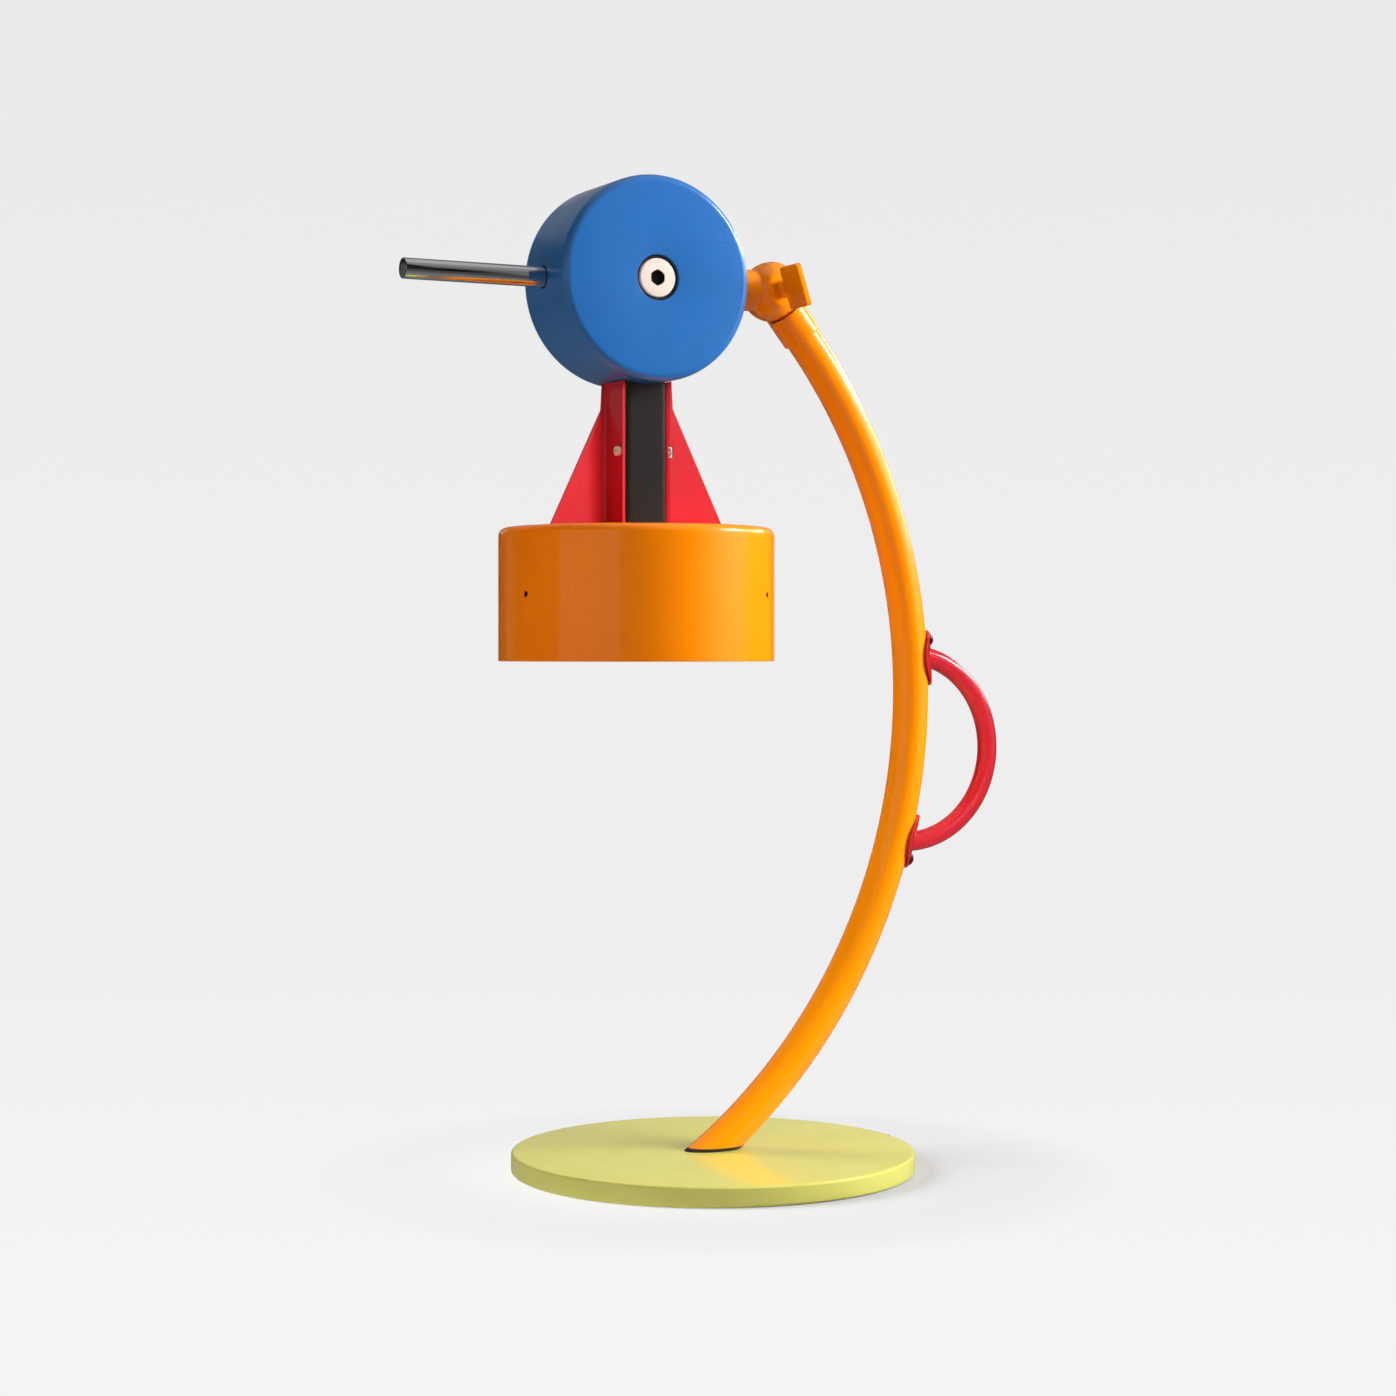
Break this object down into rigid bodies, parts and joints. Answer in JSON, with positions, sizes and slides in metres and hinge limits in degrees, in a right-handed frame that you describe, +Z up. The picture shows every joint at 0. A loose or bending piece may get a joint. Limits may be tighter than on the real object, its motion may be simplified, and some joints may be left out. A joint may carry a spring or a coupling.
{
  "type": "table lamp",
  "caption": "Table lamp with a round base, a bowed tube stem with a side handle, and a tilting head made of a drum, a bracketed post and an open cylinder shade.",
  "frame": {"origin": "centre of the base felt's underside, on the table", "axes": "+Z up; the stem bows towards +X and the head hangs over -X; the drum's front faces -Y"},
  "size_m": [0.3298, 0.2, 0.4875],
  "materials": {
    "lime_paint": "gloss",
    "felt": "matt",
    "rubber": "satin",
    "orange_paint": "gloss",
    "steel": "satin",
    "brass": "satin",
    "friction": "matt",
    "blue_paint": "gloss",
    "nickel": "polished",
    "winding": "satin",
    "chrome": "polished",
    "black_paint": "satin",
    "red_paint": "gloss",
    "white_paint": "satin",
    "ceramic": "glazed",
    "glass": "clear"
  },
  "bodies": {
    "stand": {"base_plate": "lime_paint", "base_felt": "felt", "cord_grommet": "rubber", "stem_gasket": "rubber", "stem_tube": "orange_paint", "stem_foot": "steel", "stem_nipple": "brass", "base_washer": "steel", "base_nut": "brass", "knuckle_stem_half": "orange_paint", "friction_disc": "friction", "handle_tube": "red_paint", "handle_foot_upper": "red_paint", "handle_foot_lower": "red_paint", "handle_screws": "black_paint"},
    "head": {"bolt_washer": "rubber", "transformer_pads": "rubber", "knuckle_head_half": "orange_paint", "shade": "orange_paint", "clamp_plate": "steel", "clamp_nut": "steel", "arm_nut": "steel", "rod_nut": "steel", "post_top_plug": "steel", "post_foot_plug": "steel", "shade_screws": "steel", "post_top_nipple": "brass", "post_top_nut": "brass", "post_nipple": "brass", "shade_nut": "brass", "drum_shell": "blue_paint", "drum_lid": "blue_paint", "drum_bolt": "nickel", "bracket_screws": "nickel", "transformer": "winding", "grip_rod": "chrome", "post_tube": "black_paint", "bracket_left": "red_paint", "bracket_right": "red_paint", "reflector": "white_paint", "lamp_holder": "ceramic", "bulb": "glass"},
    "wing": {"wing_screw": "orange_paint"}
  },
  "joints": [
    {"name": "head_tilt", "type": "hinge", "parent": "stand", "child": "head", "pos_m": [0.03289, 0, 0.43752], "axis": [0, 1, 0], "range_deg": [-20, 60]},
    {"name": "wing_turn", "type": "hinge", "parent": "stand", "child": "wing", "pos_m": [0.03289, 0, 0.43752], "axis": [0, 1, 0], "range_deg": [-90, 90]}
  ]
}
